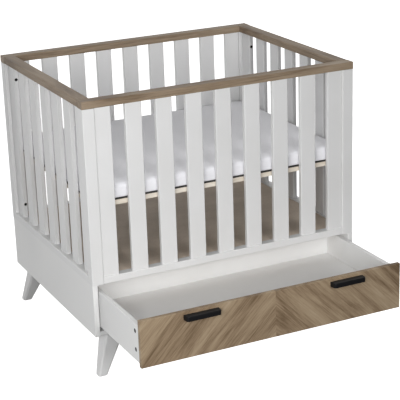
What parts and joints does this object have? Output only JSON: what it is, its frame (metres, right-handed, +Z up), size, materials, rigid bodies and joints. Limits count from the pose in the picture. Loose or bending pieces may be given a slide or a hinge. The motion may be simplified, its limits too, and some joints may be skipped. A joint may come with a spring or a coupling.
{
  "type": "baby crib",
  "caption": "Baby crib with slatted walls, wooden top rails, a raised mattress and splayed tapered legs, over a full-width drawer that rolls out of its base.",
  "frame": {"origin": "on the floor, under the middle of the crib's plan", "axes": "+X along the crib to its right as seen from the drawer's side, +Y from the drawer's side to the back, +Z up"},
  "size_m": [1, 1.158, 0.955],
  "materials": {
    "white_lacquer": "satin white lacquer",
    "white_board": "white melamine",
    "wood_decor": "grey-brown wood decor with a chevron on the drawer front",
    "hardboard": "brown hardboard",
    "birch": "bare birch",
    "black_steel": "matt black",
    "zinc": "dark zinc",
    "plain_steel": "zinc plated",
    "white_steel": "white epoxy",
    "roller_nylon": "white nylon",
    "mattress_cotton": "plain cotton cover"
  },
  "bodies": {
    "frame": {"back_board": "white_board", "base_brackets": "plain_steel", "base_frame": "birch", "base_panel": "hardboard", "bearer_left": "white_board", "bearer_right": "white_board", "bottom_rail_back": "white_lacquer", "bottom_rail_front": "white_lacquer", "bottom_rail_left": "white_lacquer", "bottom_rail_right": "white_lacquer", "cabinet_runner_left": "white_steel", "cabinet_runner_right": "white_steel", "floor_batten": "birch", "floor_panel": "hardboard", "leg_back_left": "white_lacquer", "leg_back_right": "white_lacquer", "leg_front_left": "white_lacquer", "leg_front_right": "white_lacquer", "leg_plates": "plain_steel", "mattress": "mattress_cotton", "post_back_left": "white_lacquer", "post_back_right": "white_lacquer", "post_front_left": "white_lacquer", "post_front_right": "white_lacquer", "side_board_left": "white_lacquer", "side_board_right": "white_lacquer", "slats_back": "white_lacquer", "slats_front": "white_lacquer", "slats_left": "white_lacquer", "slats_right": "white_lacquer", "stile_back_left": "white_lacquer", "stile_back_right": "white_lacquer", "stile_front_left": "white_lacquer", "stile_front_right": "white_lacquer", "stile_left_back": "white_lacquer", "stile_left_front": "white_lacquer", "stile_right_back": "white_lacquer", "stile_right_front": "white_lacquer", "stretcher_back": "white_board", "stretcher_front": "white_board", "top_rail_back": "wood_decor", "top_rail_front": "wood_decor", "top_rail_left": "wood_decor", "top_rail_right": "wood_decor", "wall_bolts": "black_steel"},
    "drawer": {"drawer_front": "wood_decor", "drawer_side_left": "white_board", "drawer_side_right": "white_board", "drawer_back": "white_board", "drawer_floor": "white_board", "drawer_cams": "zinc", "handle_left": "black_steel", "handle_right": "black_steel", "drawer_runner_left": "white_steel", "drawer_runner_right": "white_steel"},
    "roller_front_left": {"roller_front_left": "roller_nylon"},
    "roller_front_right": {"roller_front_right": "roller_nylon"},
    "roller_back_left": {"roller_back_left": "roller_nylon"},
    "roller_back_right": {"roller_back_right": "roller_nylon"}
  },
  "joints": [
    {"name": "drawer_slide", "type": "slide", "parent": "frame", "child": "drawer", "axis": [0, -1, 0], "range_m": [-0.333, 0.007]},
    {"name": "roller_front_left_spin", "type": "hinge", "parent": "frame", "child": "roller_front_left", "pos_m": [-0.45545, -0.368, 0.1985], "axis": [1, 0, 0], "range_deg": [-2125, 50]},
    {"name": "roller_front_right_spin", "type": "hinge", "parent": "frame", "child": "roller_front_right", "pos_m": [0.45545, -0.368, 0.1985], "axis": [1, 0, 0], "range_deg": [-2125, 50]},
    {"name": "roller_back_left_spin", "type": "hinge", "parent": "drawer", "child": "roller_back_left", "pos_m": [-0.45545, -0.284, 0.1985], "axis": [1, 0, 0], "range_deg": [-2125, 50]},
    {"name": "roller_back_right_spin", "type": "hinge", "parent": "drawer", "child": "roller_back_right", "pos_m": [0.45545, -0.284, 0.1985], "axis": [1, 0, 0], "range_deg": [-2125, 50]}
  ],
  "couplings": [
    {"joint": "roller_front_left_spin", "follows": "drawer_slide", "rad_per_m": 111.11},
    {"joint": "roller_front_right_spin", "follows": "drawer_slide", "rad_per_m": 111.11},
    {"joint": "roller_back_left_spin", "follows": "drawer_slide", "rad_per_m": 111.11},
    {"joint": "roller_back_right_spin", "follows": "drawer_slide", "rad_per_m": 111.11}
  ]
}
